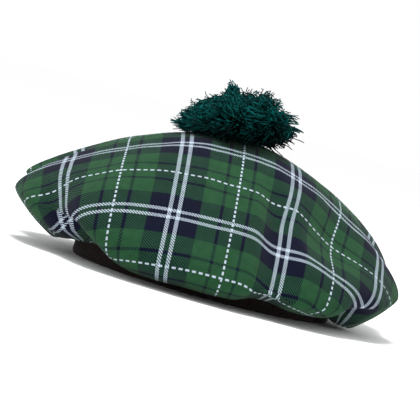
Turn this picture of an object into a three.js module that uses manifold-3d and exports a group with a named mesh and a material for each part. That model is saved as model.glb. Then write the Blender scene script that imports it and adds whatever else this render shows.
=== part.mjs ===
// Tartan tam: one round of tartan wool gathered into a ribbed knit band, with a wool pompom on its top.
// Millimetres, +Z up. The band's lower rim stands on z = 0, the front faces -Y and +X is to the right.

import * as THREE from 'three';
import { mergeVertices } from 'three/addons/utils/BufferGeometryUtils.js';
import Module from 'manifold-3d';

const wasm = await Module();
wasm.setup();

// One table row as an object with named columns.
function namedRow(columns, row) {
  return Object.fromEntries(columns.map((column, index) => [column, row[index]]));
}

// Headband
const BAND_OUTER_RADIUS = 91.5;
const BAND_WALL = 3;
const BAND_HEIGHT = 24;
const BAND_EDGE_ROUND = 0.8;
const BAND_ROUND_STEPS = 2;

// Crown cloth
const CLOTH_WALL = 1.6;
const FIT_GAP = 0.3;
const CROWN_TOP = 106;
const SEAM_RADIUS = BAND_OUTER_RADIUS + FIT_GAP;
const SEAM_HEIGHT = 21;
const APEX_REACH = 0.4;
const TUCK_REACH = 0.55;
const FOLD_FADE_SPAN = 0.16;
const GATHER_COUNT = 28;
const GATHER_DEPTH = 3;
const GATHER_START = 0.88;
const CROWN_SIDES = 4 * GATHER_COUNT;
const SLOPE_STEPS = 8;
const EDGE_STEPS = 5;
const TUCK_STEPS = 4;

// Crown sections, one row for each azimuth in degrees from the front, + to the right. The edge is the
// widest point, the hem the lowest one, fullness lifts the slope above the edge, and roundness rounds
// the cloth below it.
const SECTION_COLUMNS = [
  'azimuth', 'edgeRadius', 'edgeHeight', 'hemRadius', 'hemHeight', 'fullness', 'roundness',
];
const SECTIONS = [
  [-180, 132, 48, 104, 16, 18, 0.55],
  [-145, 136, 47, 104, 14, 9, 0.5],
  [-114, 146, 46, 106, 9, 8, 0.2],
  [-86, 142, 35, 107, 6, 16, 0.15],
  [-58, 138, 29, 104, 11, 20, 0.45],
  [-38, 139, 26, 114, 5, 22, 0.5],
  [0, 137, 18, 120, 4, 14, 0.55],
  [36, 140, 19, 117, 6, 23, 0.55],
  [76, 135, 29, 108, 2, 19, 0.15],
  [102, 131, 38, 104, 6, 20, 0.2],
  [125, 134, 52, 104, 12, 14, 0.45],
  [150, 131, 48, 102, 14, 10, 0.5],
].map((row) => namedRow(SECTION_COLUMNS, row));

// Folds that press the cloth inwards. Each one drifts from its start azimuth to its hem azimuth, spreads
// left and right by so many degrees, and grows, is full and fades at fractions of the way from top to seam.
const FOLDS = [
  // Left front pleat
  { hem: -40, start: -64, left: 20, right: 20, depth: 16, grow: 0.58, full: 0.8, fade: 0.84 },
  // Left crease
  { hem: -97, start: -92, left: 12, right: 16, depth: 15, grow: 0.4, full: 0.6, fade: 0.84 },
  // Front crease
  { hem: 19, start: 26, left: 10, right: 11, depth: 8, grow: 0.22, full: 0.5, fade: 0.8 },
  // Right front dent
  { hem: 48, start: 52, left: 28, right: 28, depth: 10, grow: 0.33, full: 0.5, fade: 0.52 },
  // Right front notch
  { hem: 50, start: 50, left: 10, right: 11, depth: 12, grow: 0.68, full: 0.8, fade: 0.84 },
  // Right saddle
  { hem: 92, start: 92, left: 14, right: 18, depth: 8, grow: 0.42, full: 0.62, fade: 0.8 },
  // Back left fold
  { hem: -140, start: -140, left: 20, right: 20, depth: 18, grow: 0.45, full: 0.8, fade: 0.84 },
  // Back right fold
  { hem: 140, start: 140, left: 22, right: 18, depth: 16, grow: 0.45, full: 0.8, fade: 0.84 },
  // Back fold
  { hem: 180, start: 180, left: 18, right: 18, depth: 18, grow: 0.45, full: 0.8, fade: 0.84 },
];

// Pompom
const POMPOM_CENTRE = new THREE.Vector3(-3, -1, 117);
const POMPOM_REACH = new THREE.Vector3(40, 36, 23);
const POMPOM_TILT = THREE.MathUtils.degToRad(-15);
const TILT_AXIS = new THREE.Vector3(0, 1, 0);
const POMPOM_HEAD_SHARE = 0.84;
const POMPOM_SEAT_RINGS = 4;
const POMPOM_SEAT_DEPTH = 60;
const LOCK_COUNT = 38;
const LOCK_SIDES = 5;
const LOCK_ROOT_RADIUS = 9;
const LOCK_TIP_RADIUS = 3.4;
const LOCK_ROOT_SHARE = 0.45;
const LOCK_LOWEST = -0.6;
const GOLDEN_ANGLE = Math.PI * (3 - Math.sqrt(5));

// Tufts that stand out of the pompom, each with its azimuth and elevation in degrees, spread and extra share.
const TUFTS = [
  { azimuth: -90, elevation: 58, spread: 14, extra: 0.3 },
  { azimuth: -90, elevation: 28, spread: 22, extra: -0.2 },
  { azimuth: 90, elevation: 79, spread: 20, extra: 0.05 },
  { azimuth: 90, elevation: -20, spread: 30, extra: 0.18 },
  { azimuth: -80, elevation: -8, spread: 24, extra: 0.1 },
  { azimuth: 10, elevation: -6, spread: 40, extra: 0.1 },
];

function smoothStep(value) {
  const clamped = Math.min(1, Math.max(0, value));
  return clamped * clamped * (3 - 2 * clamped);
}

function wrapDegrees(angle) {
  return THREE.MathUtils.euclideanModulo(angle + 180, 360) - 180;
}

// A table column at any azimuth: a periodic cubic through its rows, with slopes from the rows beside.
function columnAt(rows, column, azimuth) {
  const count = rows.length;
  const turn = (index) => Math.floor(index / count) * 360;
  const rowAt = (index) => rows[THREE.MathUtils.euclideanModulo(index, count)];
  const angle = (index) => rowAt(index).azimuth + turn(index);
  const value = (index) => rowAt(index)[column];
  const slope = (index) => (value(index + 1) - value(index - 1)) / (angle(index + 1) - angle(index - 1));
  const first = rows[0].azimuth;
  const place = first + THREE.MathUtils.euclideanModulo(azimuth - first, 360);
  let index = 0;
  while (angle(index + 1) <= place) index += 1;
  const span = angle(index + 1) - angle(index);
  const t = (place - angle(index)) / span;
  const rise = smoothStep(t);
  const startBend = t * (1 - t) * (1 - t) * span * slope(index);
  const endBend = t * t * (t - 1) * span * slope(index + 1);
  return value(index) * (1 - rise) + value(index + 1) * rise + startBend + endBend;
}

// The three curves of one section, in radius and height: slope to the edge, edge to the hem, hem to the seam.
function sectionCurves(azimuth) {
  const [, edgeRadius, edgeHeight, hemRadius, hemHeight, fullness, roundness] = SECTION_COLUMNS
    .map((column) => columnAt(SECTIONS, column, azimuth));
  const top = new THREE.Vector2(0, CROWN_TOP);
  const edge = new THREE.Vector2(edgeRadius, edgeHeight);
  const hem = new THREE.Vector2(hemRadius, hemHeight);
  const seam = new THREE.Vector2(SEAM_RADIUS, SEAM_HEIGHT);
  const slope = new THREE.CubicBezierCurve(
    top,
    new THREE.Vector2(APEX_REACH * edgeRadius, CROWN_TOP),
    new THREE.Vector2(edgeRadius, edgeHeight + fullness),
    edge,
  );
  const under = new THREE.CubicBezierCurve(
    edge,
    new THREE.Vector2(edgeRadius, edgeHeight - roundness * (edgeHeight - hemHeight)),
    new THREE.Vector2(hemRadius + roundness * (edgeRadius - hemRadius), hemHeight),
    hem,
  );
  const tuck = new THREE.CubicBezierCurve(
    hem,
    new THREE.Vector2(hemRadius - TUCK_REACH * (hemRadius - SEAM_RADIUS), hemHeight),
    new THREE.Vector2(SEAM_RADIUS, SEAM_HEIGHT - TUCK_REACH * (SEAM_HEIGHT - hemHeight)),
    seam,
  );
  return [
    { curve: slope, steps: SLOPE_STEPS },
    { curve: under, steps: EDGE_STEPS },
    { curve: tuck, steps: TUCK_STEPS },
  ];
}

// How far the folds press the cloth in, at an azimuth and a fraction of the way from the top to the seam.
function foldDepth(azimuth, fraction) {
  let depth = 0;
  for (const fold of FOLDS) {
    const drift = Math.min(1, Math.max(0, (fraction - fold.grow) / (fold.fade - fold.grow)));
    const centre = fold.start + (fold.hem - fold.start) * drift;
    const aside = wrapDegrees(azimuth - centre);
    const width = aside < 0 ? fold.left : fold.right;
    if (Math.abs(aside) >= width) continue;
    const bell = 0.5 + 0.5 * Math.cos((Math.PI * aside) / width);
    const growth = smoothStep((fraction - fold.grow) / (fold.full - fold.grow));
    const fading = 1 - smoothStep((fraction - fold.fade) / FOLD_FADE_SPAN);
    depth += fold.depth * bell * growth * fading;
  }
  return depth;
}

// The crown's outer skin along one azimuth, from the first ring below the top to the seam.
function crownSection(azimuth) {
  const samples = [];
  let length = 0;
  for (const { curve, steps } of sectionCurves(azimuth)) {
    const total = curve.getLength();
    for (let step = 1; step <= steps; step += 1) {
      const point = curve.getPointAt(step / steps);
      const tangent = curve.getTangentAt(step / steps);
      samples.push({ point, tangent, length: length + (total * step) / steps });
    }
    length += total;
  }
  const turn = THREE.MathUtils.degToRad(azimuth);
  return samples.map((sample) => {
    const fraction = sample.length / length;
    const press = foldDepth(azimuth, fraction);
    const gatherWave = 0.5 - 0.5 * Math.cos(GATHER_COUNT * turn);
    const gather = GATHER_DEPTH * gatherWave * smoothStep((fraction - GATHER_START) / (1 - GATHER_START));
    const radius = sample.point.x + sample.tangent.y * press + gather;
    const height = sample.point.y - sample.tangent.x * press;
    return new THREE.Vector3(radius * Math.sin(turn), -radius * Math.cos(turn), height);
  });
}

function crownRings() {
  const sections = [];
  for (let side = 0; side < CROWN_SIDES; side += 1) {
    sections.push(crownSection((360 * side) / CROWN_SIDES - 180));
  }
  return sections[0].map((_, ring) => sections.map((section) => section[ring]));
}

// Triangles of a skin that starts at one pole and runs ring by ring, seen from outside.
function skinFaces(ringCount, sides, pole, firstRing) {
  const faces = [];
  const at = (ring, side) => firstRing + ring * sides + (side % sides);
  for (let side = 0; side < sides; side += 1) {
    faces.push([pole, at(0, side), at(0, side + 1)]);
    for (let ring = 0; ring + 1 < ringCount; ring += 1) {
      faces.push([at(ring, side), at(ring + 1, side), at(ring + 1, side + 1)]);
      faces.push([at(ring, side), at(ring + 1, side + 1), at(ring, side + 1)]);
    }
  }
  return faces;
}

function geometryFrom(points, faces) {
  const geometry = new THREE.BufferGeometry().setFromPoints(points);
  geometry.setIndex(faces.flat());
  geometry.computeVertexNormals();
  return geometry;
}

// The cloth wall: the outer skin, the same skin moved in by the wall, and the strip at the seam between them.
function crownGeometry(rings) {
  const apex = new THREE.Vector3(0, 0, CROWN_TOP);
  const outer = [apex, ...rings.flat()];
  const outerFaces = skinFaces(rings.length, CROWN_SIDES, 0, 1);
  const normals = geometryFrom(outer, outerFaces).getAttribute('normal');
  const inner = outer.map((point, index) => {
    const normal = new THREE.Vector3().fromBufferAttribute(normals, index);
    return point.clone().addScaledVector(normal, -CLOTH_WALL);
  });
  const innerFaces = outerFaces.map(([a, b, c]) => [a, c, b].map((index) => index + outer.length));
  const lastRing = 1 + (rings.length - 1) * CROWN_SIDES;
  const seamFaces = [];
  for (let side = 0; side < CROWN_SIDES; side += 1) {
    const here = lastRing + side;
    const next = lastRing + ((side + 1) % CROWN_SIDES);
    seamFaces.push([here, here + outer.length, next + outer.length], [here, next + outer.length, next]);
  }
  return geometryFrom([...outer, ...inner], [...outerFaces, ...innerFaces, ...seamFaces]);
}

// One edge of the band's profile, a quarter round from one angle to the next about its centre.
function quarterRound(centreRadius, centreHeight, startAngle) {
  const points = [];
  for (let step = 0; step <= BAND_ROUND_STEPS; step += 1) {
    const angle = startAngle + ((Math.PI / 2) * step) / BAND_ROUND_STEPS;
    points.push(new THREE.Vector2(
      centreRadius + BAND_EDGE_ROUND * Math.cos(angle),
      centreHeight + BAND_EDGE_ROUND * Math.sin(angle),
    ));
  }
  return points;
}

function headbandGeometry() {
  const inner = BAND_OUTER_RADIUS - BAND_WALL + BAND_EDGE_ROUND;
  const outer = BAND_OUTER_RADIUS - BAND_EDGE_ROUND;
  const low = BAND_EDGE_ROUND;
  const high = BAND_HEIGHT - BAND_EDGE_ROUND;
  const profile = [
    ...quarterRound(inner, low, Math.PI),
    ...quarterRound(outer, low, -Math.PI / 2),
    ...quarterRound(outer, high, 0),
    ...quarterRound(inner, high, Math.PI / 2),
  ];
  profile.push(profile[0].clone());
  return new THREE.LatheGeometry(profile, CROWN_SIDES / 2).rotateX(Math.PI / 2);
}

function solidFrom(geometry) {
  const bare = geometry.index ? geometry.toNonIndexed() : geometry.clone();
  bare.deleteAttribute('normal');
  bare.deleteAttribute('uv');
  const merged = mergeVertices(bare);
  return new wasm.Manifold(new wasm.Mesh({
    numProp: 3,
    vertProperties: new Float32Array(merged.getAttribute('position').array),
    triVerts: new Uint32Array(merged.index.array),
  }));
}

function geometryOfSolid(solid) {
  const mesh = solid.getMesh();
  const geometry = new THREE.BufferGeometry();
  const positions = new Float32Array(mesh.vertProperties);
  geometry.setAttribute('position', new THREE.BufferAttribute(positions, mesh.numProp));
  geometry.setIndex(new THREE.BufferAttribute(new Uint32Array(mesh.triVerts), 1));
  geometry.computeVertexNormals();
  return geometry;
}

// What the pompom sits on: the top of the crown, raised by the gap and closed below.
function pompomSeat(rings) {
  const raise = new THREE.Vector3(0, 0, FIT_GAP);
  const topRings = rings.slice(0, POMPOM_SEAT_RINGS);
  const apex = new THREE.Vector3(0, 0, CROWN_TOP);
  const points = [apex, ...topRings.flat()].map((point) => point.clone().add(raise));
  const faces = skinFaces(topRings.length, CROWN_SIDES, 0, 1);
  const base = points.length;
  points.push(new THREE.Vector3(0, 0, CROWN_TOP - POMPOM_SEAT_DEPTH));
  const lastRing = 1 + (topRings.length - 1) * CROWN_SIDES;
  for (let side = 0; side < CROWN_SIDES; side += 1) {
    faces.push([lastRing + ((side + 1) % CROWN_SIDES), lastRing + side, base]);
  }
  return geometryFrom(points, faces);
}

// How far the pompom reaches in a direction, as a share of its plain form.
function tuftShare(direction) {
  let share = 1;
  for (const tuft of TUFTS) {
    const azimuth = THREE.MathUtils.degToRad(tuft.azimuth);
    const elevation = THREE.MathUtils.degToRad(tuft.elevation);
    const axis = new THREE.Vector3(
      Math.sin(azimuth) * Math.cos(elevation),
      -Math.cos(azimuth) * Math.cos(elevation),
      Math.sin(elevation),
    );
    const away = THREE.MathUtils.radToDeg(axis.angleTo(direction)) / tuft.spread;
    share += tuft.extra * Math.exp(-away * away);
  }
  return share;
}

function lockGeometry(direction) {
  const tilted = direction.clone().applyAxisAngle(TILT_AXIS, POMPOM_TILT);
  const tip = direction.clone()
    .multiply(POMPOM_REACH)
    .applyAxisAngle(TILT_AXIS, POMPOM_TILT)
    .multiplyScalar(tuftShare(tilted));
  const root = tip.clone().multiplyScalar(LOCK_ROOT_SHARE);
  const along = tip.clone().sub(root);
  const lock = new THREE.CylinderGeometry(LOCK_TIP_RADIUS, LOCK_ROOT_RADIUS, along.length(), LOCK_SIDES);
  const upright = new THREE.Vector3(0, 1, 0);
  const turn = new THREE.Quaternion().setFromUnitVectors(upright, along.clone().normalize());
  const middle = root.add(tip).multiplyScalar(0.5).add(POMPOM_CENTRE);
  return lock.applyQuaternion(turn).translate(middle.x, middle.y, middle.z);
}

function pompomGeometry(rings) {
  const headReach = POMPOM_REACH.clone().multiplyScalar(POMPOM_HEAD_SHARE);
  const head = new THREE.IcosahedronGeometry(1, 2)
    .scale(headReach.x, headReach.y, headReach.z)
    .rotateY(POMPOM_TILT)
    .translate(POMPOM_CENTRE.x, POMPOM_CENTRE.y, POMPOM_CENTRE.z);
  let solid = solidFrom(head);
  for (let lock = 0; lock < LOCK_COUNT; lock += 1) {
    const rise = 1 - ((1 - LOCK_LOWEST) * (lock + 0.5)) / LOCK_COUNT;
    const level = Math.sqrt(1 - rise * rise);
    const azimuth = GOLDEN_ANGLE * lock;
    const direction = new THREE.Vector3(level * Math.sin(azimuth), -level * Math.cos(azimuth), rise);
    solid = solid.add(solidFrom(lockGeometry(direction)));
  }
  return geometryOfSolid(solid.subtract(solidFrom(pompomSeat(rings))));
}

function namedMesh(name, geometry, color, roughness) {
  const mesh = new THREE.Mesh(geometry, new THREE.MeshStandardMaterial({ color, roughness, metalness: 0 }));
  mesh.name = name;
  return mesh;
}

function tartanTam() {
  const rings = crownRings();
  const tam = new THREE.Group();
  tam.add(
    namedMesh('crown', crownGeometry(rings), 0x2d6437, 0.85),
    namedMesh('headband', headbandGeometry(), 0x2a2322, 0.9),
    namedMesh('pompom', pompomGeometry(rings), 0x07433d, 0.8),
  );
  const middle = new THREE.Box3().setFromObject(tam).getCenter(new THREE.Vector3());
  tam.position.set(-middle.x, -middle.y, 0);
  tam.updateMatrixWorld(true);
  return tam;
}

export default tartanTam();
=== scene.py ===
"""Tartan tam: a draped tartan crown, a ribbed knit headband and a wool pompom in a pale studio."""

import logging
import math
from dataclasses import dataclass, field
from enum import Enum

import bpy
import numpy as np
from mathutils import Matrix, Vector


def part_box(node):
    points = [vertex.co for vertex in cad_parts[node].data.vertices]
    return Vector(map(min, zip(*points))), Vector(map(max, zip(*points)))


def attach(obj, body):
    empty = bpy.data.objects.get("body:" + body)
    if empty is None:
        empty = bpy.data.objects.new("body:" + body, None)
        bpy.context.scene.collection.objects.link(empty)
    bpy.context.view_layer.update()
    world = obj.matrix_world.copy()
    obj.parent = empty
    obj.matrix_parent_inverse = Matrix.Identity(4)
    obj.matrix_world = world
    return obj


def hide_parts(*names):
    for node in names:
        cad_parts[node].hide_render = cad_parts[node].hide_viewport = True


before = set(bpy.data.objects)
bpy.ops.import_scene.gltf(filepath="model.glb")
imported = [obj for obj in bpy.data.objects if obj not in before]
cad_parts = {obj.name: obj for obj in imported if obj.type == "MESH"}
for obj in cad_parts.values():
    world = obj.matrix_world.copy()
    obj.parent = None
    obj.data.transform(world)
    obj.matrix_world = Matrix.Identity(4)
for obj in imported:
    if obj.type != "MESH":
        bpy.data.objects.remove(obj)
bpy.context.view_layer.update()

LOG = logging.getLogger("tartan_tam")
MM = 0.001
BODY = "root"
Socket = bpy.types.NodeSocket
Value = Socket | float
Colour = tuple[float, float, float]
Place = tuple[float, float, float]
Range = tuple[float, float]


class Slot(Enum):
    """The record's material slots."""

    TARTAN = "tartan_wool"
    BAND = "band_knit"
    POMPOM = "pompom_yarn"


def smooth_step(value: np.ndarray) -> np.ndarray:
    """Eases values from 0 to 1, held at both ends."""
    held = np.clip(value, 0.0, 1.0)
    return held * held * (3.0 - 2.0 * held)


def linear(red: int, green: int, blue: int) -> Colour:
    """Turns a screen colour of 0 to 255 a channel into linear light.

    Args:
        red: Red channel.
        green: Green channel.
        blue: Blue channel.

    Returns:
        The three channels in linear light.
    """
    return tuple((channel / 255.0) ** 2.2 for channel in (red, green, blue))


def foot(axis: Vector) -> np.ndarray:
    """The point of the floor on the band's axis, in metres."""
    return np.array([axis.x, axis.y, 0.0])


class Bench:
    """Operator steps that several pieces share."""

    @staticmethod
    def clear() -> None:
        """Leaves edit mode and deselects everything."""
        if bpy.context.object and bpy.context.object.mode != "OBJECT":
            bpy.ops.object.mode_set(mode="OBJECT")
        bpy.ops.object.select_all(action="DESELECT")

    @staticmethod
    def name(piece_name: str) -> bpy.types.Object:
        """Names the object that an operator just added, and its mesh.

        Args:
            piece_name: Name for both.

        Returns:
            The object.
        """
        piece = bpy.context.object
        piece.name = piece_name
        piece.data.name = piece_name
        return piece

    @staticmethod
    def place(piece: bpy.types.Object, points: np.ndarray) -> None:
        """Moves every vertex of a mesh, in vertex order."""
        piece.data.vertices.foreach_set("co", points.astype(np.float32).ravel())
        piece.data.update()

    @staticmethod
    def points(piece: bpy.types.Object) -> np.ndarray:
        """Reads every vertex of a mesh.

        Args:
            piece: The object to read.

        Returns:
            Rows of x, y and z in vertex order.
        """
        held = np.zeros(len(piece.data.vertices) * 3, np.float32)
        piece.data.vertices.foreach_get("co", held)
        return held.reshape(-1, 3).astype(float)

    @staticmethod
    def spin(piece: bpy.types.Object, steps: int, weld: float) -> None:
        """Spins the whole mesh once round Z, welds the closing edge and turns the faces outwards.

        Args:
            piece: The object whose mesh is spun.
            steps: Copies in the turn.
            weld: Distance in metres below which vertices become one.
        """
        bpy.context.view_layer.objects.active = piece
        bpy.ops.object.mode_set(mode="EDIT")
        bpy.ops.mesh.select_all(action="SELECT")
        bpy.ops.mesh.spin(
            steps=steps,
            angle=2.0 * math.pi,
            center=(0.0, 0.0, 0.0),
            axis=(0.0, 0.0, 1.0),
        )
        bpy.ops.mesh.select_all(action="SELECT")
        bpy.ops.mesh.remove_doubles(threshold=weld)
        bpy.ops.mesh.normals_make_consistent(inside=False)
        bpy.ops.object.mode_set(mode="OBJECT")

    @staticmethod
    def face_up(piece: bpy.types.Object) -> None:
        """Turns a flat mesh over where its faces look down, so that a wall grows below it.

        Args:
            piece: The flat object, which is the active one.
        """
        if piece.data.polygons[0].normal.z < 0.0:
            bpy.ops.object.mode_set(mode="EDIT")
            bpy.ops.mesh.select_all(action="SELECT")
            bpy.ops.mesh.flip_normals()
            bpy.ops.object.mode_set(mode="OBJECT")

    @staticmethod
    def write_uv(piece: bpy.types.Object, name: str, per_vertex: np.ndarray) -> None:
        """Writes a UV map from one pair of coordinates a vertex.

        Args:
            piece: The object to map.
            name: The map's name.
            per_vertex: Rows of u and v in vertex order.
        """
        mesh = piece.data
        layer = mesh.uv_layers.get(name) or mesh.uv_layers.new(name=name)
        corner = np.zeros(len(mesh.loops), np.int32)
        mesh.loops.foreach_get("vertex_index", corner)
        layer.data.foreach_set("uv", per_vertex[corner].astype(np.float32).ravel())

    @staticmethod
    def pick(piece: bpy.types.Object) -> None:
        """Selects one piece alone and makes it the active one.

        Args:
            piece: The object to pick.
        """
        Bench.clear()
        piece.select_set(True)
        bpy.context.view_layer.objects.active = piece

    @staticmethod
    def apply(piece: bpy.types.Object, kind: str, **settings: object) -> None:
        """Adds one modifier and applies it.

        Args:
            piece: The object to change.
            kind: The modifier's type.
            **settings: Its properties by name.
        """
        Bench.pick(piece)
        modifier = piece.modifiers.new(kind.lower(), kind)
        for key, value in settings.items():
            setattr(modifier, key, value)
        bpy.ops.object.modifier_apply(modifier=modifier.name)

    @staticmethod
    def shade_smooth(piece: bpy.types.Object) -> None:
        """Shades a piece smooth."""
        Bench.pick(piece)
        bpy.ops.object.shade_smooth()


class Graph:
    """Short calls that add and join the nodes of one tree."""

    def __init__(self, tree: bpy.types.NodeTree) -> None:
        """Keeps the tree that the calls add to."""
        self.tree = tree

    def node(self, kind: str, **settings: object) -> bpy.types.Node:
        """Adds a node and sets its properties.

        Args:
            kind: The node's type.
            **settings: Its properties by name.

        Returns:
            The node.
        """
        made = self.tree.nodes.new(kind)
        for key, value in settings.items():
            setattr(made, key, value)
        return made

    def feed(self, socket: Socket, value: object) -> None:
        """Links a socket to another one, or sets its value.

        Args:
            socket: The input to feed.
            value: An output to link, or a constant.
        """
        if isinstance(value, Socket):
            self.tree.links.new(value, socket)
        else:
            socket.default_value = value

    def math(self, operation: str, *values: Value) -> Socket:
        """Adds a Math node.

        Args:
            operation: What the node does.
            *values: Up to three outputs or constants.

        Returns:
            The result.
        """
        made = self.node("ShaderNodeMath", operation=operation)
        for socket, value in zip(made.inputs, values):
            self.feed(socket, value)
        return made.outputs[0]

    def mix(self, share: Value, first: object, second: object) -> Socket:
        """Mixes two colours.

        Args:
            share: How much of the second shows.
            first: A colour or an output.
            second: A colour or an output.

        Returns:
            The mixed colour.
        """
        made = self.node("ShaderNodeMix", data_type="RGBA")
        self.feed(made.inputs["Factor"], share)
        for socket, value in ((made.inputs[6], first), (made.inputs[7], second)):
            self.feed(socket, value if isinstance(value, Socket) else (*value, 1.0))
        return made.outputs[2]

    def scale(self, colour: object, tone: Socket) -> Socket:
        """Makes a colour darker or lighter by a tone.

        Args:
            colour: A colour or an output.
            tone: What the colour is multiplied by.

        Returns:
            The toned colour.
        """
        made = self.node("ShaderNodeVectorMath", operation="SCALE")
        self.feed(made.inputs[0], colour)
        self.feed(made.inputs["Scale"], tone)
        return made.outputs[0]

    def stops(self, value: Value, stops: list[tuple[float, Colour]], hard: bool) -> Socket:
        """Adds a colour ramp.

        Args:
            value: What the ramp reads, from 0 to 1.
            stops: Positions and colours in rising order.
            hard: True for stripes with no blend between them.

        Returns:
            The ramp's colour.
        """
        made = self.node("ShaderNodeValToRGB")
        ramp = made.color_ramp
        ramp.interpolation = "CONSTANT" if hard else "LINEAR"
        while len(ramp.elements) < len(stops):
            ramp.elements.new(1.0)
        for element, (place, colour) in zip(ramp.elements, stops):
            element.position = place
            element.color = (*colour, 1.0)
        self.feed(made.inputs["Fac"], value)
        return made.outputs["Color"]

    def noise(self, vector: Socket, scale: Value, detail: float) -> Socket:
        """Adds a noise texture.

        Args:
            vector: Coordinates in metres.
            scale: Grains a metre.
            detail: Octaves of finer grain.

        Returns:
            The noise from 0 to 1.
        """
        made = self.node("ShaderNodeTexNoise")
        self.feed(made.inputs["Vector"], vector)
        self.feed(made.inputs["Scale"], scale)
        made.inputs["Detail"].default_value = detail
        return made.outputs["Fac"]

    def split(self, vector: Socket) -> tuple[Socket, ...]:
        """Splits a vector.

        Args:
            vector: The output to split.

        Returns:
            Its three values.
        """
        made = self.node("ShaderNodeSeparateXYZ")
        self.feed(made.inputs[0], vector)
        return tuple(made.outputs)

    def bump(self, height: Socket, strength: float, distance: float) -> Socket:
        """Adds a bump node.

        Args:
            height: The height from 0 to 1.
            strength: Share of the bump that shows.
            distance: What a height of 1 stands for, in metres.

        Returns:
            The bumped normal.
        """
        made = self.node("ShaderNodeBump")
        made.inputs["Strength"].default_value = strength
        made.inputs["Distance"].default_value = distance
        self.feed(made.inputs["Height"], height)
        return made.outputs["Normal"]


class WoolFuzz:
    """The soft, uneven tone and nap of woollen yarn, as one node group for every finish."""

    NAME = "wool_fuzz"
    FINE_DETAIL = 3.0
    PATCH_SHARE = 0.12
    PATCH_DETAIL = 1.0

    @classmethod
    def group(cls) -> bpy.types.NodeTree:
        """Builds the group once.

        Returns:
            The group's tree.
        """
        if cls.NAME in bpy.data.node_groups:
            return bpy.data.node_groups[cls.NAME]
        tree = bpy.data.node_groups.new(cls.NAME, "ShaderNodeTree")
        tree.interface.new_socket("Vector", in_out="INPUT", socket_type="NodeSocketVector")
        for name in ("Fibre Scale", "Depth"):
            tree.interface.new_socket(name, in_out="INPUT", socket_type="NodeSocketFloat")
        for name in ("Tone", "Height"):
            tree.interface.new_socket(name, in_out="OUTPUT", socket_type="NodeSocketFloat")
        graph = Graph(tree)
        given = graph.node("NodeGroupInput").outputs
        fine = graph.noise(given["Vector"], given["Fibre Scale"], cls.FINE_DETAIL)
        patch_scale = graph.math("MULTIPLY", given["Fibre Scale"], cls.PATCH_SHARE)
        patch = graph.noise(given["Vector"], patch_scale, cls.PATCH_DETAIL)
        swing = graph.math("SUBTRACT", graph.math("ADD", fine, patch), 1.0)
        tone = graph.math("MULTIPLY_ADD", swing, given["Depth"], 1.0)
        result = graph.node("NodeGroupOutput")
        graph.feed(result.inputs["Tone"], tone)
        graph.feed(result.inputs["Height"], fine)
        return tree

    @classmethod
    def add(cls, graph: Graph, vector: Socket, scale: float, depth: float) -> dict[str, Socket]:
        """Places the group in a material.

        Args:
            graph: The material's graph.
            vector: Coordinates in metres.
            scale: Fibres a metre.
            depth: How far the tone swings.

        Returns:
            The group's outputs by name.
        """
        made = graph.node("ShaderNodeGroup", node_tree=cls.group())
        graph.feed(made.inputs["Vector"], vector)
        made.inputs["Fibre Scale"].default_value = scale
        made.inputs["Depth"].default_value = depth
        return {"Tone": made.outputs["Tone"], "Height": made.outputs["Height"]}


class Finish:
    """A material with one Principled shader, filled in by its own finish."""

    name: str
    roughness: float
    sheen: float
    gloss: float
    SHEEN_ROUGHNESS = 0.5

    def material(self) -> bpy.types.Material:
        """Builds the finish once.

        Returns:
            The finish's material.
        """
        if self.name in bpy.data.materials:
            return bpy.data.materials[self.name]
        made = bpy.data.materials.new(self.name)
        made.use_nodes = True
        shader = made.node_tree.nodes["Principled BSDF"]
        shader.inputs["Roughness"].default_value = self.roughness
        shader.inputs["Specular IOR Level"].default_value = self.gloss
        shader.inputs["Sheen Weight"].default_value = self.sheen
        shader.inputs["Sheen Roughness"].default_value = self.SHEEN_ROUGHNESS
        self.paint(Graph(made.node_tree), shader)
        return made

    def paint(self, graph: Graph, shader: bpy.types.Node) -> None:
        """Joins the finish's own nodes to the shader.

        Args:
            graph: The material's graph.
            shader: The material's Principled shader.
        """
        raise NotImplementedError

    def dress(self, piece: bpy.types.Object) -> None:
        """Gives a piece this material and no other."""
        piece.data.materials.clear()
        piece.data.materials.append(self.material())


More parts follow.
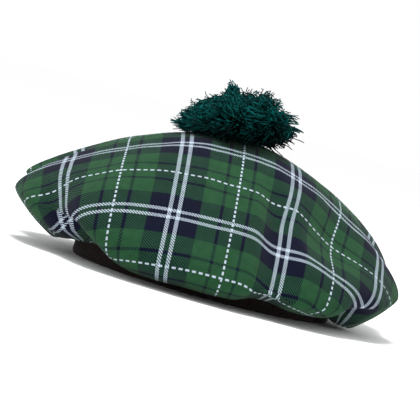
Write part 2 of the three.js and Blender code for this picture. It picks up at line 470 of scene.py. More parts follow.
@dataclass(frozen=True)
class TartanWool(Finish):
    """Green, navy and white tartan in a two and two twill, with dashed white overchecks."""

    name: str = "tartan_twill_finish"
    roughness: float = 0.92
    sheen: float = 0.04
    gloss: float = 0.05
    uv_map: str = "cloth"
    thread: float = 0.5 * MM
    sett_across: float = 39.3 * MM
    sett_along: float = 41.75 * MM
    shift_across: float = 2.0 * MM
    shift_along: float = 0.0
    dash_half_width: float = 0.68 * MM
    dash_period: float = 4.45 * MM
    dash_share: float = 0.58
    twill_repeat: float = 4.0
    twill_over: float = 1.5
    # painted shade on the threads' sides and painted light added on their crests
    painted_groove_shade: float = 0.72
    painted_crest_light: float = 0.35
    fibre_scale: float = 1400.0
    fibre_depth: float = 0.5
    nap_share: float = 0.4
    bump_strength: float = 0.6
    bump_depth: float = 0.12 * MM
    green: Colour = linear(36, 69, 46)
    navy: Colour = linear(15, 19, 36)
    white: Colour = linear(168, 180, 194)

    def chart(self) -> list[tuple[float, Colour]]:
        """The half sett from the dashed line to the middle of the white pair.

        Returns:
            Ramp stops as places and colours.
        """
        widths = (
            (8.25, self.green),
            (2.2, self.navy),
            (13.6, self.green),
            (13.0, self.navy),
            (2.8, self.white),
            (1.9, self.navy),
        )
        total = sum(width for width, _ in widths)
        stops = []
        reached = 0.0
        for width, colour in widths:
            stops.append((reached / total, colour))
            reached += width
        return stops

    @staticmethod
    def stripe_place(graph: Graph, at: Socket, shift: float, sett: float) -> Socket:
        """Where a point lies in the half sett, from 0 on the dashed line to 1 between the white pair."""
        moved = graph.math("SUBTRACT", at, shift)
        return graph.math("PINGPONG", graph.math("DIVIDE", moved, sett), 1.0)

    def dashes(self, graph: Graph, place: Socket, along: Socket) -> Socket:
        """Marks one set of white dashes that run along a line of the check.

        Args:
            graph: The material's graph.
            place: Where a point lies in the half sett.
            along: Metres along the line.

        Returns:
            1 on a dash and 0 elsewhere.
        """
        near = graph.math("LESS_THAN", place, self.dash_half_width / self.sett_along)
        beat = graph.math("FRACT", graph.math("DIVIDE", along, self.dash_period))
        return graph.math("MULTIPLY", near, graph.math("LESS_THAN", beat, self.dash_share))

    @staticmethod
    def thread_round(graph: Graph, count: Socket) -> Socket:
        """Rounded height across one thread, from 0 at its sides to 1 on its crest."""
        centred = graph.math("SUBTRACT", graph.math("FRACT", count), 0.5)
        return graph.math("MULTIPLY_ADD", graph.math("MULTIPLY", centred, centred), -4.0, 1.0)

    def paint(self, graph: Graph, shader: bpy.types.Node) -> None:
        """Weaves warp and weft stripes by the twill, paints shade on the threads' sides and light on their
        crests, and raises the threads.

        Args:
            graph: The material's graph.
            shader: The material's Principled shader.
        """
        cloth = graph.node("ShaderNodeUVMap", uv_map=self.uv_map).outputs["UV"]
        across, along, _ = graph.split(cloth)
        warp_place = self.stripe_place(graph, across, self.shift_across, self.sett_across)
        weft_place = self.stripe_place(graph, along, self.shift_along, self.sett_along)
        warp = graph.stops(warp_place, self.chart(), hard=True)
        weft = graph.stops(weft_place, self.chart(), hard=True)
        warp_count = graph.math("DIVIDE", across, self.thread)
        weft_count = graph.math("DIVIDE", along, self.thread)
        step = graph.math("ADD", graph.math("FLOOR", warp_count), graph.math("FLOOR", weft_count))
        beat = graph.math("FLOORED_MODULO", step, self.twill_repeat)
        warp_over = graph.math("LESS_THAN", beat, self.twill_over)
        woven = graph.mix(warp_over, weft, warp)
        dashed = graph.math(
            "MAXIMUM",
            self.dashes(graph, warp_place, along),
            self.dashes(graph, weft_place, across),
        )
        checked = graph.mix(dashed, woven, self.white)
        warp_round = self.thread_round(graph, warp_count)
        weft_round = self.thread_round(graph, weft_count)
        lift = graph.math("MULTIPLY", warp_over, graph.math("SUBTRACT", warp_round, weft_round))
        height = graph.math("ADD", weft_round, lift)
        fuzz = WoolFuzz.add(graph, cloth, self.fibre_scale, self.fibre_depth)
        # painted shade and light: the colour is darker on each thread's sides and lighter on its crest, as
        # light falls on the weave
        thread_painted_shade = graph.math("MULTIPLY_ADD", height, self.painted_crest_light, self.painted_groove_shade)
        tone = graph.math("MULTIPLY", fuzz["Tone"], thread_painted_shade)
        graph.feed(shader.inputs["Base Color"], graph.scale(checked, tone))
        napped = graph.math("MULTIPLY_ADD", fuzz["Height"], self.nap_share, height)
        graph.feed(shader.inputs["Normal"], graph.bump(napped, self.bump_strength, self.bump_depth))


@dataclass(frozen=True)
class BandKnit(Finish):
    """Dark brown knit of fine level ribs, each a row of small slanted stitches."""

    name: str = "band_knit_finish"
    roughness: float = 0.9
    sheen: float = 0.04
    gloss: float = 0.15
    uv_map: str = "band"
    stitch: float = 1.1 * MM
    # painted shade between the stitches and painted light added on their crests
    painted_groove_shade: float = 0.75
    painted_crest_light: float = 0.35
    fibre_scale: float = 1800.0
    fibre_depth: float = 0.7
    nap_share: float = 0.5
    bump_strength: float = 0.5
    bump_depth: float = 0.2 * MM
    yarn: Colour = linear(42, 35, 34)

    def paint(self, graph: Graph, shader: bpy.types.Node) -> None:
        """Paints the yarn with painted shade between its stitches and painted light on their crests, and
        raises the stitches.

        Args:
            graph: The material's graph.
            shader: The material's Principled shader.
        """
        place = graph.node("ShaderNodeUVMap", uv_map=self.uv_map).outputs["UV"]
        round_way, up, _ = graph.split(place)
        sideways = graph.math("DIVIDE", round_way, self.stitch)
        slant = graph.math("ADD", sideways, graph.math("DIVIDE", up, self.stitch))
        swing = graph.math("SINE", graph.math("MULTIPLY", slant, 2.0 * math.pi))
        wave = graph.math("MULTIPLY_ADD", swing, 0.5, 0.5)
        fuzz = WoolFuzz.add(graph, place, self.fibre_scale, self.fibre_depth)
        # painted shade and light: the colour is darker between stitches and lighter on their crests, as
        # light falls on the knit
        stitch_painted_shade = graph.math("MULTIPLY_ADD", wave, self.painted_crest_light, self.painted_groove_shade)
        tone = graph.math("MULTIPLY", fuzz["Tone"], stitch_painted_shade)
        graph.feed(shader.inputs["Base Color"], graph.scale(self.yarn, tone))
        height = graph.math("MULTIPLY_ADD", fuzz["Height"], self.nap_share, wave)
        graph.feed(shader.inputs["Normal"], graph.bump(height, self.bump_strength, self.bump_depth))


@dataclass(frozen=True)
class PompomYarn(Finish):
    """Teal wool yarn with painted shade towards the roots, each strand with its own tone, and painted shade
    on the strands that point down.
    """

    name: str = "pompom_yarn_finish"
    roughness: float = 0.7
    sheen: float = 0.0
    gloss: float = 0.06
    uv_map: str = "strand"
    tip: Colour = linear(1, 70, 68)
    # painted shade: the root colour is near black, standing for the shade deep inside the pompom
    root: Colour = linear(0, 8, 9)
    painted_root_shade_end: float = 0.3
    tip_start: float = 0.95
    least_tone: float = 0.04
    tone_span: float = 1.9
    fibre_scale: float = 900.0
    fibre_depth: float = 0.8
    bump_strength: float = 0.5
    bump_depth: float = 0.3 * MM

    def paint(self, graph: Graph, shader: bpy.types.Node) -> None:
        """Paints the strands from a dark root of painted shade to the tip and roughens their fibres.

        Args:
            graph: The material's graph.
            shader: The material's Principled shader.
        """
        place = graph.node("ShaderNodeUVMap", uv_map=self.uv_map).outputs["UV"]
        tone, along, _ = graph.split(place)
        # painted shade: the ramp darkens each strand from its tip towards its root
        ends = [(self.painted_root_shade_end, self.root), (self.tip_start, self.tip)]
        colour = graph.stops(along, ends, hard=False)
        spot = graph.node("ShaderNodeTexCoord").outputs["Object"]
        fuzz = WoolFuzz.add(graph, spot, self.fibre_scale, self.fibre_depth)
        # the strand tone is each strand's random tone times painted shade on the strands that point down
        strand_tone = graph.math("MULTIPLY_ADD", tone, self.tone_span, self.least_tone)
        level = graph.math("MULTIPLY", fuzz["Tone"], strand_tone)
        graph.feed(shader.inputs["Base Color"], graph.scale(colour, level))
        rough = graph.bump(fuzz["Height"], self.bump_strength, self.bump_depth)
        graph.feed(shader.inputs["Normal"], rough)


@dataclass(frozen=True)
class PaperFloor(Finish):
    """Pale studio paper."""

    name: str = "studio_paper_finish"
    roughness: float = 0.95
    sheen: float = 0.0
    gloss: float = 0.1
    tint: Colour = (0.99, 0.99, 0.99)
    tooth_scale: float = 300.0
    tooth_detail: float = 2.0
    bump_strength: float = 0.05
    bump_depth: float = 0.2 * MM

    def paint(self, graph: Graph, shader: bpy.types.Node) -> None:
        """Gives the paper a faint tooth.

        Args:
            graph: The material's graph.
            shader: The material's Principled shader.
        """
        spot = graph.node("ShaderNodeTexCoord").outputs["Object"]
        shader.inputs["Base Color"].default_value = (*self.tint, 1.0)
        tooth = graph.noise(spot, self.tooth_scale, self.tooth_detail)
        graph.feed(shader.inputs["Normal"], graph.bump(tooth, self.bump_strength, self.bump_depth))


@dataclass(frozen=True)
class Section:
    """One section of the crown, in degrees from the front and millimetres."""

    azimuth: float
    edge_radius: float
    edge_height: float
    hem_radius: float
    hem_height: float
    fullness: float
    roundness: float


@dataclass(frozen=True)
class Fold:
    """One fold that presses the cloth in.

    Its middle at the hem and at its start, and its widths to both sides, are in degrees. Its depth is in
    millimetres. It grows, is full and fades at shares of the way from the top to the seam.
    """

    hem: float
    start: float
    left: float
    right: float
    depth: float
    grow: float
    full: float
    fade: float


@dataclass(frozen=True)
class Ripple:
    """One soft wave: its count round the cloth and from top to seam, and its phase in radians."""

    rounds: int
    along: float
    phase: float


SECTIONS = (
    Section(-180, 132, 48, 104, 16, 18, 0.55),
    Section(-145, 136, 44, 104, 14, 6, 0.50),
    Section(-114, 146, 45, 106, 9, 4, 0.20),
    Section(-86, 142, 35, 107, 6, 16, 0.15),
    Section(-58, 138, 29, 104, 11, 20, 0.45),
    Section(-38, 139, 26, 114, 5, 22, 0.50),
    Section(0, 137, 18, 120, 6, 14, 0.55),
    Section(36, 140, 17, 119, 8, 23, 0.45),
    Section(76, 135, 29, 108, 2, 19, 0.15),
    Section(102, 131, 38, 104, 6, 20, 0.20),
    Section(125, 134, 52, 104, 12, 14, 0.45),
    Section(150, 131, 48, 102, 14, 10, 0.50),
)

FOLDS = (
    Fold(-40, -64, 20, 20, 16, 0.58, 0.80, 0.84),
    Fold(-97, -92, 12, 16, 15, 0.40, 0.60, 0.84),
    Fold(19, 26, 10, 11, 7, 0.22, 0.50, 0.78),
    Fold(48, 52, 28, 28, 10, 0.33, 0.50, 0.52),
    Fold(50, 50, 10, 11, 12, 0.68, 0.80, 0.84),
    Fold(92, 92, 14, 18, 8, 0.42, 0.62, 0.80),
    Fold(-140, -140, 20, 20, 18, 0.45, 0.80, 0.84),
    Fold(140, 140, 22, 18, 16, 0.45, 0.80, 0.84),
    Fold(180, 180, 18, 18, 18, 0.45, 0.80, 0.84),
)

RIPPLES = (
    Ripple(4, 1.3, 0.4),
    Ripple(-7, 2.2, 1.7),
    Ripple(11, 3.1, 2.9),
    Ripple(-17, 4.3, 0.6),
    Ripple(23, 5.2, 5.1),
)


@dataclass
class Crown:
    """The tartan crown: a flat round of cloth, spun from one thread, then draped over the band.

    Lengths are in millimetres and turns in degrees.
    """

    axis: Vector
    top: float = 106.0
    seam_radius: float = 91.8
    seam_height: float = 21.0
    apex_reach: float = 0.4
    tuck_reach: float = 0.55
    fade_span: float = 0.16
    gathers: int = 28
    gather_depth: float = 3.0
    gather_start: float = 0.88
    sides: int = 336
    slope_steps: int = 56
    edge_steps: int = 22
    tuck_steps: int = 16
    twist: float = 4.0
    tight_turn: float = 42.0
    ripple: float = 0.8
    ripple_full: float = 0.5
    weld_share: float = 0.05
    wall: float = 1.3
    flat_radius: float = 212.0
    finish: TartanWool = field(default_factory=TartanWool)

    @property
    def rings(self) -> int:
        """Rings of cloth from the top to the seam."""
        return self.slope_steps + self.edge_steps + self.tuck_steps

    def column(self, name: str, azimuths: np.ndarray) -> np.ndarray:
        """A column of the section table at any azimuths, by a periodic cubic.

        Args:
            name: The column.
            azimuths: Degrees from the front.

        Returns:
            One value for each azimuth.
        """
        angles = np.array([row.azimuth for row in SECTIONS], float)
        values = np.array([getattr(row, name) for row in SECTIONS], float)
        angles = np.concatenate([[angles[-1] - 360.0], angles, angles[:2] + 360.0])
        values = np.concatenate([values[-1:], values, values[:2]])
        slopes = (values[2:] - values[:-2]) / (angles[2:] - angles[:-2])
        place = (azimuths - angles[1]) % 360.0 + angles[1]
        row = np.searchsorted(angles[1:-1], place, side="right") - 1
        row = np.clip(row, 0, len(SECTIONS) - 1)
        span = angles[row + 2] - angles[row + 1]
        share = (place - angles[row + 1]) / span
        rise = smooth_step(share)
        bend = share * (1.0 - share) ** 2 * slopes[row] + share**2 * (share - 1.0) * slopes[row + 1]
        return values[row + 1] * (1.0 - rise) + values[row + 2] * rise + bend * span

    @staticmethod
    def bezier(handles: list[np.ndarray | float], share: np.ndarray) -> tuple[np.ndarray, np.ndarray]:
        """Follows a cubic with four handles.

        Args:
            handles: The two ends with the two pulls between them.
            share: Shares of the way from the first to the last.

        Returns:
            Values, and a third of the slopes.
        """
        first, second, third, last = handles
        back = 1.0 - share
        value = (
            back**3 * first
            + 3 * back**2 * share * second
            + 3 * back * share**2 * third
            + share**3 * last
        )
        slope = (
            back**2 * (second - first)
            + 2 * back * share * (third - second)
            + share**2 * (last - third)
        )
        return value, slope

    def smooth_sections(self, azimuths: np.ndarray) -> tuple[np.ndarray, ...]:
        """Sections of the cloth before it folds, from the slope over the edge to the tuck under it.

        Args:
            azimuths: Degrees from the front.

        Returns:
            Radius and height for each azimuth and ring, and the outward normal in the section's plane.
        """
        names = ("edge_radius", "edge_height", "hem_radius", "hem_height", "fullness", "roundness")
        edge_radius, edge_height, hem_radius, hem_height, fullness, roundness = (
            self.column(name, azimuths)[:, None] for name in names
        )
        edge_turn = hem_radius + roundness * (edge_radius - hem_radius)
        edge_drop = edge_height - roundness * (edge_height - hem_height)
        tuck_turn = hem_radius - self.tuck_reach * (hem_radius - self.seam_radius)
        tuck_rise = self.seam_height - self.tuck_reach * (self.seam_height - hem_height)
        curves = (
            (
                self.slope_steps,
                [0.0, self.apex_reach * edge_radius, edge_radius, edge_radius],
                [self.top, self.top, edge_height + fullness, edge_height],
            ),
            (
                self.edge_steps,
                [edge_radius, edge_radius, edge_turn, hem_radius],
                [edge_height, edge_drop, hem_height, hem_height],
            ),
            (
                self.tuck_steps,
                [hem_radius, tuck_turn, self.seam_radius, self.seam_radius],
                [hem_height, hem_height, tuck_rise, self.seam_height],
            ),
        )
        radii, heights, outs, ups = [], [], [], []
        for steps, radius_handles, height_handles in curves:
            share = np.arange(1, steps + 1)[None] / steps
            radius, radius_slope = self.bezier(radius_handles, share)
            height, height_slope = self.bezier(height_handles, share)
            length = np.hypot(radius_slope, height_slope)
            radii.append(radius)
            heights.append(height)
            outs.append(-height_slope / length)
            ups.append(radius_slope / length)
        return tuple(np.concatenate(parts, axis=1) for parts in (radii, heights, outs, ups))

    def fold_press(self, azimuths: np.ndarray, share: np.ndarray) -> np.ndarray:
        """How far the folds press the cloth in.

        Args:
            azimuths: Degrees from the front.
            share: Shares of the way from the top to the seam, for each azimuth and ring.

        Returns:
            Millimetres for each azimuth and ring.
        """
        press = np.zeros_like(share)
        for fold in FOLDS:
            drift = np.clip((share - fold.grow) / (fold.fade - fold.grow), 0.0, 1.0)
            centre = fold.start + (fold.hem - fold.start) * drift
            aside = (azimuths[:, None] - centre + 180.0) % 360.0 - 180.0
            width = np.where(aside < 0.0, fold.left, fold.right)
            bell = np.where(np.abs(aside) < width, 0.5 + 0.5 * np.cos(np.pi * aside / width), 0.0)
            growth = smooth_step((share - fold.grow) / (fold.full - fold.grow))
            fading = 1.0 - smooth_step((share - fold.fade) / self.fade_span)
            press += fold.depth * bell * growth * fading
        return press

    def ripples(self, turn: np.ndarray, share: np.ndarray) -> np.ndarray:
        """Small soft waves over the whole cloth, none at the top and full from half way down.

        Args:
            turn: Azimuths in radians.
            share: Shares of the way from the top to the seam, for each azimuth and ring.

        Returns:
            Millimetres outwards for each azimuth and ring.
        """
        waves = (
            np.sin(wave.rounds * turn + 2.0 * np.pi * wave.along * share + wave.phase) for wave in RIPPLES
        )
        return self.ripple * sum(waves) / len(RIPPLES) * smooth_step(share / self.ripple_full)

    def drape(self) -> np.ndarray:
        """Drapes the cloth in its sections, folds, ripples and gathers.

        Returns:
            Points of every azimuth and ring, in millimetres from the band's axis.
        """
        azimuths = np.arange(self.sides) * 360.0 / self.sides - 180.0
        radius, height, out, up = self.smooth_sections(azimuths)
        top = np.zeros((self.sides, 1))
        outward = np.diff(radius, axis=1, prepend=top)
        downward = np.diff(height, axis=1, prepend=top + self.top)
        share = np.cumsum(np.hypot(outward, downward), axis=1)
        share /= share[:, -1:]
        turn = np.radians(azimuths)[:, None]
        press = self.fold_press(azimuths, share) - self.ripples(turn, share)
        wave = 0.5 - 0.5 * np.cos(self.gathers * turn)
        gathered = smooth_step((share - self.gather_start) / (1.0 - self.gather_start))
        gather = self.gather_depth * wave * gathered
        radius = radius - out * press + gather
        height = height - up * press
        return np.stack([radius * np.sin(turn), -radius * np.cos(turn), height], axis=-1)

    def side_at(self, points: np.ndarray) -> np.ndarray:
        """Index of the azimuth of the drape that is nearest to each point."""
        turn = np.arctan2(points[:, 0], -points[:, 1]) + np.pi
        return np.rint(turn * self.sides / (2.0 * np.pi)).astype(int) % self.sides

    def height_under(self, points: np.ndarray) -> np.ndarray:
        """Height of the crown's outer face below or above points near its top.

        Args:
            points: Rows of x, y and z in millimetres from the band's axis.

        Returns:
            One height for each point.
        """
        cloth = self.drape()[:, : self.slope_steps]
        radius = np.hypot(cloth[..., 0], cloth[..., 1])
        side = self.side_at(points)
        away = np.hypot(points[:, 0], points[:, 1])
        height = np.zeros(len(points))
        for place in np.unique(side):
            chosen = side == place
            height[chosen] = np.interp(away[chosen], radius[place], cloth[place, :, 2])
        return height

    def flat_cloth(self, points: np.ndarray) -> np.ndarray:
        """Where each draped point lay on the flat round, its lengths true and the spare cloth behind.

        Args:
            points: Draped points of every azimuth and ring.

        Returns:
            Across and along on the flat cloth for each point, in millimetres.
        """
        apex = np.broadcast_to(np.array([0.0, 0.0, self.top]), (self.sides, 1, 3))
        strides = np.diff(np.concatenate([apex, points], 1), axis=1)
        reach = np.cumsum(np.linalg.norm(strides, axis=-1), axis=1)
        beside = np.roll(points, -1, axis=0)
        between = 0.5 * (reach + np.roll(reach, -1, axis=0))
        angle = np.linalg.norm(beside - points, axis=-1) / between
        azimuths = np.arange(self.sides) * 2.0 * np.pi / self.sides - np.pi
        front = math.radians(self.twist)
        middle = azimuths + np.pi / self.sides - front
        spare = 2.0 * np.pi - angle.sum(axis=0)
        slack = 1.0 - np.cos(middle + math.radians(self.tight_turn))
        angle += spare[None] * slack[:, None] / self.sides
        run = np.concatenate([np.zeros((1, angle.shape[1])), np.cumsum(angle, axis=0)[:-1]])
        zero = np.array([np.interp(front, azimuths, run[:, ring]) for ring in range(run.shape[1])])
        turned = run - zero[None]
        return np.stack([reach * np.sin(turned), -reach * np.cos(turned)], axis=-1)

    def cut_round(self) -> bpy.types.Object:
        """Draws one thread of the cloth out from its middle, and spins it into a flat round.

        Returns:
            The flat cloth, its face up.
        """
        Bench.clear()
        bpy.ops.mesh.primitive_plane_add(size=1.0 * MM)
        cloth = Bench.name("crown_cloth")
        bpy.ops.object.mode_set(mode="EDIT")
        bpy.ops.mesh.select_all(action="SELECT")
        bpy.ops.mesh.merge(type="CENTER")
        step = self.flat_radius * MM / self.rings
        for _ in range(self.rings):
            bpy.ops.mesh.extrude_region_move(TRANSFORM_OT_translate={"value": (0.0, -step, 0.0)})
        bpy.ops.object.mode_set(mode="OBJECT")
        Bench.spin(cloth, self.sides, weld=self.weld_share * step)
        Bench.face_up(cloth)
        return cloth

    def build(self) -> bpy.types.Object:
        """Cuts, drapes, thickens and dresses the crown.

        Returns:
            The crown's object.
        """
        cloth = self.cut_round()
        flat = Bench.points(cloth)
        reach = np.hypot(flat[:, 0], flat[:, 1])
        ring = np.rint(reach / (self.flat_radius * MM / self.rings)).astype(int)
        side = self.side_at(flat)
        draped = self.drape()
        mapped = self.flat_cloth(draped)
        apex = ring == 0
        points = np.where(apex[:, None], [[0.0, 0.0, self.top]], draped[side, ring - 1])
        cloth_map = np.where(apex[:, None], [[0.0, 0.0]], mapped[side, ring - 1])
        Bench.place(cloth, points * MM + foot(self.axis))
        Bench.write_uv(cloth, self.finish.uv_map, cloth_map * MM)
        Bench.apply(cloth, "SOLIDIFY", thickness=self.wall * MM, offset=-1.0)
        Bench.shade_smooth(cloth)
        self.finish.dress(cloth)
        return cloth

    def declare(self, cloth: bpy.types.Object) -> None:
        """Says what the crown rides on and stands for.

        Args:
            cloth: The crown's object.
        """
        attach(cloth, BODY)
        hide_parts("crown")


@dataclass
class Headband:
    """The knit band: a thin rounded profile with level ribs, spun round the head, in millimetres."""

    axis: Vector
    outer_radius: float = 91.5
    wall: float = 3.0
    height: float = 24.0
    edge_round: float = 1.2
    rib_pitch: float = 1.35
    rib_depth: float = 0.4
    rib_points: int = 6
    edge_points: int = 7
    weld: float = 0.01
    sides: int = 240
    finish: BandKnit = field(default_factory=BandKnit)

    def profile(self) -> np.ndarray:
        """Draws the band's wall, up the outside and down the inside, with ribs on both.

        Returns:
            Rows of radius and height in millimetres, once round the wall.
        """
        ribbed = self.height - 2.0 * self.edge_round
        ribs = round(ribbed / self.rib_pitch)
        rise = np.linspace(self.edge_round, self.height - self.edge_round, ribs * self.rib_points + 1)
        wave = np.abs(np.sin(np.pi * (rise - self.edge_round) * ribs / ribbed))
        outside = np.stack([self.outer_radius - self.rib_depth * (1.0 - wave), rise], axis=-1)
        inner_radius = self.outer_radius - self.wall
        inside = np.stack([inner_radius + self.rib_depth * (1.0 - wave), rise], axis=-1)[::-1]
        middle = self.outer_radius - self.wall / 2.0
        half = self.wall / 2.0 - self.rib_depth
        angle = np.linspace(0.0, np.pi, self.edge_points + 2)[1:-1]
        sink = self.edge_round * (1.0 - np.sin(angle))
        over = np.stack([middle + half * np.cos(angle), self.height - sink], axis=-1)
        under = np.stack([middle - half * np.cos(angle), sink], axis=-1)
        return np.concatenate([outside, over, inside, under])

    def build(self) -> bpy.types.Object:
        """Spins the profile and dresses the band.

        Returns:
            The band's object.
        """
        profile = self.profile() * MM
        Bench.clear()
        bpy.ops.mesh.primitive_circle_add(
            vertices=len(profile),
            radius=self.height * MM,
            fill_type="NOTHING",
        )
        band = Bench.name("headband_knit")
        Bench.place(band, np.stack([np.zeros(len(profile)), -profile[:, 0], profile[:, 1]], axis=-1))
        Bench.spin(band, self.sides, weld=self.weld * MM)
        points = Bench.points(band)
        turn = np.arctan2(points[:, 0], -points[:, 1])
        marks = np.stack([turn * self.outer_radius * MM, points[:, 2]], axis=-1)
        Bench.write_uv(band, self.finish.uv_map, marks)
        Bench.place(band, points + foot(self.axis))
        Bench.shade_smooth(band)
        self.finish.dress(band)
        return band

    def declare(self, band: bpy.types.Object) -> None:
        """Says what the band rides on and stands for.

        Args:
            band: The band's object.
        """
        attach(band, BODY)
        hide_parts("headband")


@dataclass(frozen=True)
class Tuft:
    """A tuft or dent of the pompom: its direction and spread in degrees, and its extra share of reach."""

    azimuth: float
    elevation: float
    spread: float
    extra: float


TUFTS = (
    Tuft(-90, 62, 12, 0.46),
    Tuft(-90, 36, 20, -0.22),
    Tuft(-90, 83, 9, -0.14),
    Tuft(90, 74, 16, 0.16),
    Tuft(90, 38, 20, -0.12),
    Tuft(90, -6, 24, 0.10),
    Tuft(70, -34, 22, 0.22),
    Tuft(-85, -22, 20, 0.24),
    Tuft(10, -2, 30, 0.10),
    Tuft(-5, -30, 24, 0.24),
)


@dataclass
class Pompom:
    """The wool pompom: clumps of cut yarn that fan out from one tied middle and droop over the crown.

    Lengths are in millimetres and the tilt in degrees. Scatters and leans are shares of a unit vector.
    """

    axis: Vector
    crown: Crown
    centre: Place = (-3.0, -1.0, 117.0)
    reach: Place = (40.0, 36.0, 23.0)
    tilt: float = -15.0
    lowest: float = -0.72
    clumps: int = 260
    clump_scatter: float = 0.10
    clump_length: Range = (0.74, 1.0)
    clump_lean: Range = (0.3, 1.0)
    clump_tone: Range = (0.15, 0.85)
    strands: int = 26
    strand_scatter: float = 0.11
    strand_length: Range = (0.86, 1.04)
    strand_lean: float = 0.22
    strand_tone: float = 0.16
    strand_radius: float = 0.45
    strand_sides: int = 3
    strand_cross: Place = (0.31, 0.17, 0.94)
    tip_taper: float = 0.25
    bends: int = 4
    root_share: float = 0.25
    bow: float = 1.6
    sweep: float = 22.0
    flow_rate: float = 3.0
    flow_phase: Place = (1.0, 2.3, 4.1)
    flow_scatter: float = 0.45
    stray_share: float = 0.07
    stray_length: Range = (1.06, 1.2)
    stray_lean: float = 0.35
    tuft_full: float = 0.2
    tuft_hold: float = 0.85
    # painted shade under the pompom: the darkest share of tone, and where and over what span it fades
    underside_painted_shade: float = 0.05
    underside_shade_end: float = -0.55
    underside_shade_span: float = 0.6
    clearance: Range = (0.8, 2.6)
    seed: int = 7
    finish: PompomYarn = field(default_factory=PompomYarn)

    @property
    def lean_turn(self) -> np.ndarray:
        """The turn that leans the pompom to one side, as three rows."""
        return np.array(Matrix.Rotation(math.radians(self.tilt), 3, "Y"))

    def directions(self, count: int) -> np.ndarray:
        """Even directions over the pompom, from its top down to its lowest locks.

        Args:
            count: How many.

        Returns:
            Rows of unit vectors.
        """
        index = np.arange(count) + 0.5
        rise = 1.0 - (1.0 - self.lowest) * index / count
        level = np.sqrt(1.0 - rise**2)
        turn = np.pi * (3.0 - math.sqrt(5.0)) * np.arange(count)
        return np.stack([level * np.sin(turn), -level * np.cos(turn), rise], axis=-1)

    def tuft_share(self, directions: np.ndarray) -> np.ndarray:
        """How far the pompom reaches in each direction.

        Args:
            directions: Rows of unit vectors.

        Returns:
            Shares of the plain form's reach.
        """
        share = np.ones(len(directions))
        for tuft in TUFTS:
            azimuth = math.radians(tuft.azimuth)
            elevation = math.radians(tuft.elevation)
            level = math.cos(elevation)
            way = np.array([math.sin(azimuth) * level, -math.cos(azimuth) * level, math.sin(elevation)])
            away = np.degrees(np.arccos(np.clip(directions @ way, -1.0, 1.0))) / tuft.spread
            share += tuft.extra * np.exp(-away * away)
        return share

    def hold_in(self, line: np.ndarray, length: np.ndarray) -> np.ndarray:
        """Draws strands that lean out of the pompom's form back into it.

        Args:
            line: Middle lines of the strands from the pompom's centre.
            length: Each strand's share of the form's reach.

        Returns:
            The held lines.
        """
        loose = line.reshape(-1, 3)
        spread = np.linalg.norm(loose @ self.lean_turn / np.array(self.reach), axis=1)
        heading = loose / np.linalg.norm(loose, axis=1, keepdims=True)
        bound = np.repeat(length, self.bends + 1) * self.tuft_share(heading)
        return line * np.minimum(1.0, bound / spread).reshape(len(line), -1, 1)

    def routes(self) -> tuple[np.ndarray, np.ndarray]:
        """Draws the strands' middle lines, clump by clump, and lifts them off the crown.

        Returns:
            Points of every strand and joint, in millimetres from the band's axis, and the strands' tones,
            with painted shade on the strands that point down.
        """
        draw = np.random.default_rng(self.seed)
        count = self.clumps * self.strands
        clump = self.directions(self.clumps) + draw.normal(0.0, self.clump_scatter, (self.clumps, 3))
        clump /= np.linalg.norm(clump, axis=1, keepdims=True)
        flow = np.sin(self.flow_rate * np.roll(clump, 1, axis=1) + np.array(self.flow_phase))
        aside = np.cross(clump, flow + draw.normal(0.0, self.flow_scatter, (self.clumps, 3)))
        aside /= np.linalg.norm(aside, axis=1, keepdims=True)
        way = np.repeat(clump, self.strands, axis=0) + draw.normal(0.0, self.strand_scatter, (count, 3))
        way /= np.linalg.norm(way, axis=1, keepdims=True)
        length = np.repeat(draw.uniform(*self.clump_length, self.clumps), self.strands)
        length = length * draw.uniform(*self.strand_length, count)
        stray = draw.random(count) < self.stray_share
        length = np.where(stray, length * draw.uniform(*self.stray_length, count), length)
        tuft = self.tuft_share(way @ self.lean_turn.T)
        reach = (way * np.array(self.reach)) @ self.lean_turn.T * tuft[:, None]
        upright = np.clip((tuft - 1.0) / self.tuft_full, 0.0, 1.0)
        lean = aside * draw.uniform(*self.clump_lean, (self.clumps, 1))
        lean = np.repeat(lean, self.strands, axis=0)
        lean = (lean + draw.normal(0.0, self.strand_lean, (count, 3))) * self.sweep
        lean = np.where(stray[:, None], lean * self.stray_lean, lean)
        lean = lean * (1.0 - self.tuft_hold * upright[:, None])
        share = np.linspace(0.0, 1.0, self.bends + 1)[None, :, None]
        out = self.root_share + (1.0 - self.root_share) * (1.0 - (1.0 - share) ** self.bow)
        line = reach[:, None] * length[:, None, None] * out + lean[:, None] * share**2
        line = self.hold_in(line, length) + np.array(self.centre)
        tone = np.repeat(draw.uniform(*self.clump_tone, self.clumps), self.strands)
        tone = tone + draw.normal(0.0, self.strand_tone, count)
        # painted shade: the tone of strands that point down is darkened, standing for the shade under the
        # pompom
        lit = smooth_step((way[:, 2] - self.underside_shade_end) / self.underside_shade_span)
        tone *= self.underside_painted_shade + (1.0 - self.underside_painted_shade) * lit
        lying = self.crown.height_under(line.reshape(-1, 3)).reshape(count, -1)
        lying += draw.uniform(*self.clearance, (count, 1))
        line[..., 2] = np.maximum(line[..., 2], lying)
        return line, np.clip(tone, 0.0, 1.0)

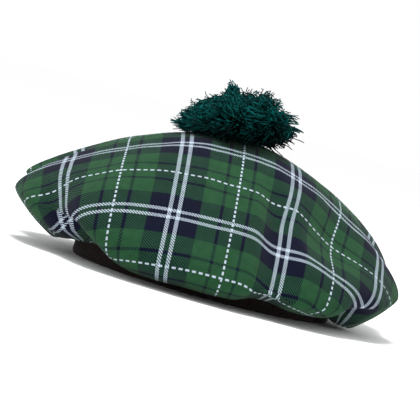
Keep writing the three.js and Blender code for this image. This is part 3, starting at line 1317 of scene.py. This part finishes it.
    def tubes(self, line: np.ndarray) -> np.ndarray:
        """Winds a thin tapered tube round every strand's line.

        Args:
            line: Points of every strand and joint.

        Returns:
            For every strand the points of its rings, from root to tip, and of its tip.
        """
        along = np.gradient(line, axis=1)
        along /= np.linalg.norm(along, axis=-1, keepdims=True)
        side = np.cross(along, np.array(self.strand_cross))
        side /= np.linalg.norm(side, axis=-1, keepdims=True)
        over = np.cross(along, side)
        turn = np.arange(self.strand_sides) * 2.0 * np.pi / self.strand_sides
        thick = self.strand_radius * (1.0 - self.tip_taper * np.linspace(0.0, 1.0, line.shape[1]))
        wheel = np.cos(turn)[:, None] * side[:, :, None] + np.sin(turn)[:, None] * over[:, :, None]
        rings = line[:, :, None] + wheel * thick[None, :, None, None]
        tips = line[:, -1:] + along[:, -1:] * self.strand_radius
        return np.concatenate([rings.reshape(len(line), -1, 3), tips], axis=1)

    def strand_faces(self, joints: int) -> list[tuple[int, ...]]:
        """Faces of one strand: its sides, its pointed tip and its flat root.

        Args:
            joints: Rings along the strand.

        Returns:
            Corners of each face.
        """
        around = self.strand_sides
        faces = []
        for joint in range(joints - 1):
            low = joint * around
            high = low + around
            for edge in range(around):
                beside = (edge + 1) % around
                faces.append((low + edge, low + beside, high + beside, high + edge))
        last = (joints - 1) * around
        tip = joints * around
        faces.extend((last + edge, last + (edge + 1) % around, tip) for edge in range(around))
        faces.append(tuple(range(around))[::-1])
        return faces

    def build(self) -> bpy.types.Object:
        """Joins all strands in one mesh and dresses the pompom.

        Returns:
            The pompom's object.
        """
        line, tone = self.routes()
        count, joints, _ = line.shape
        points = self.tubes(line)
        per_strand = points.shape[1]
        one_strand = self.strand_faces(joints)
        faces = [
            tuple(strand * per_strand + corner for corner in face)
            for strand in range(count)
            for face in one_strand
        ]
        mesh = bpy.data.meshes.new("pompom_strands")
        place = points.reshape(-1, 3) * MM + foot(self.axis)
        mesh.from_pydata(place.tolist(), [], faces)
        piece = bpy.data.objects.new("pompom_strands", mesh)
        bpy.context.scene.collection.objects.link(piece)
        run = np.append(np.repeat(np.linspace(0.0, 1.0, joints), self.strand_sides), 1.0)
        marks = np.stack([np.repeat(tone, per_strand), np.tile(run, count)], axis=-1)
        Bench.write_uv(piece, self.finish.uv_map, marks)
        Bench.shade_smooth(piece)
        self.finish.dress(piece)
        return piece

    def declare(self, piece: bpy.types.Object) -> None:
        """Says what the pompom rides on and stands for.

        Args:
            piece: The pompom's object.
        """
        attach(piece, BODY)
        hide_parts("pompom")


@dataclass
class Studio:
    """A pale paper floor, a white surround, a soft light and the camera at the picture's angle.

    The camera's distance, width and aim are in millimetres and its angles in degrees. The rest is in metres.
    """

    axis: Vector
    distance: float = 1600.0
    elevation: float = 2.6
    roll: float = 15.7
    picture_width: float = 289.8
    aim: Place = (-7.3, 0.0, 52.6)
    sight: float = 100.0
    floor_size: float = 40.0
    surround: float = 1.0
    key_place: Place = (-0.3, -0.15, 1.85)
    key_size: float = 0.6
    key_power: float = 36.0
    lit_height: float = 0.06
    finish: PaperFloor = field(default_factory=PaperFloor)

    def camera(self) -> None:
        """Adds the camera, turned about its own line of sight so that the hat leans as in the picture."""
        lift = math.radians(self.elevation)
        lean = math.radians(self.roll)
        forward = Vector((0.0, math.cos(lift), -math.sin(lift)))
        level = Vector((1.0, 0.0, 0.0))
        upward = Vector((0.0, math.sin(lift), math.cos(lift)))
        right = level * math.cos(lean) + upward * math.sin(lean)
        above = upward * math.cos(lean) - level * math.sin(lean)
        target = Vector(self.aim) * MM + Vector((self.axis.x, self.axis.y, 0.0))
        data = bpy.data.cameras.new("camera")
        data.lens = data.sensor_width * self.distance / self.picture_width
        data.clip_end = self.sight
        camera = bpy.data.objects.new("camera", data)
        turn = Matrix((right, above, -forward)).transposed().to_4x4()
        camera.matrix_world = Matrix.Translation(target - forward * self.distance * MM) @ turn
        bpy.context.scene.collection.objects.link(camera)
        bpy.context.scene.camera = camera

    def light(self) -> None:
        """Adds one soft square light that faces the hat."""
        Bench.clear()
        bpy.ops.object.light_add(type="AREA", location=self.key_place)
        lamp = bpy.context.object
        lamp.name = "key_light"
        lamp.data.size = self.key_size
        lamp.data.energy = self.key_power
        away = Vector(self.key_place) - Vector((self.axis.x, self.axis.y, self.lit_height))
        lamp.rotation_euler = away.to_track_quat("Z", "Y").to_euler()

    def surroundings(self) -> None:
        """Adds the floor, the white surround and the light."""
        Bench.clear()
        bpy.ops.mesh.primitive_plane_add(size=self.floor_size)
        floor = Bench.name("studio_floor")
        self.finish.dress(floor)
        world = bpy.data.worlds.new("studio_surround")
        world.use_nodes = True
        background = world.node_tree.nodes["Background"]
        background.inputs["Color"].default_value = (1.0, 1.0, 1.0, 1.0)
        background.inputs["Strength"].default_value = self.surround
        bpy.context.scene.world = world
        self.light()
        bpy.context.scene.view_settings.view_transform = "Standard"


def main() -> None:
    """Builds the studio and the hat's pieces in order."""
    logging.basicConfig(level=logging.INFO, format="%(message)s")
    low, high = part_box("headband")
    axis = (low + high) / 2.0
    studio = Studio(axis)
    studio.camera()
    studio.surroundings()
    crown = Crown(axis)
    for part in (Headband(axis), crown, Pompom(axis, crown)):
        piece = part.build()
        part.declare(piece)
        LOG.info("%s: %d faces", piece.name, len(piece.data.polygons))


if __name__ == "__main__":
    main()
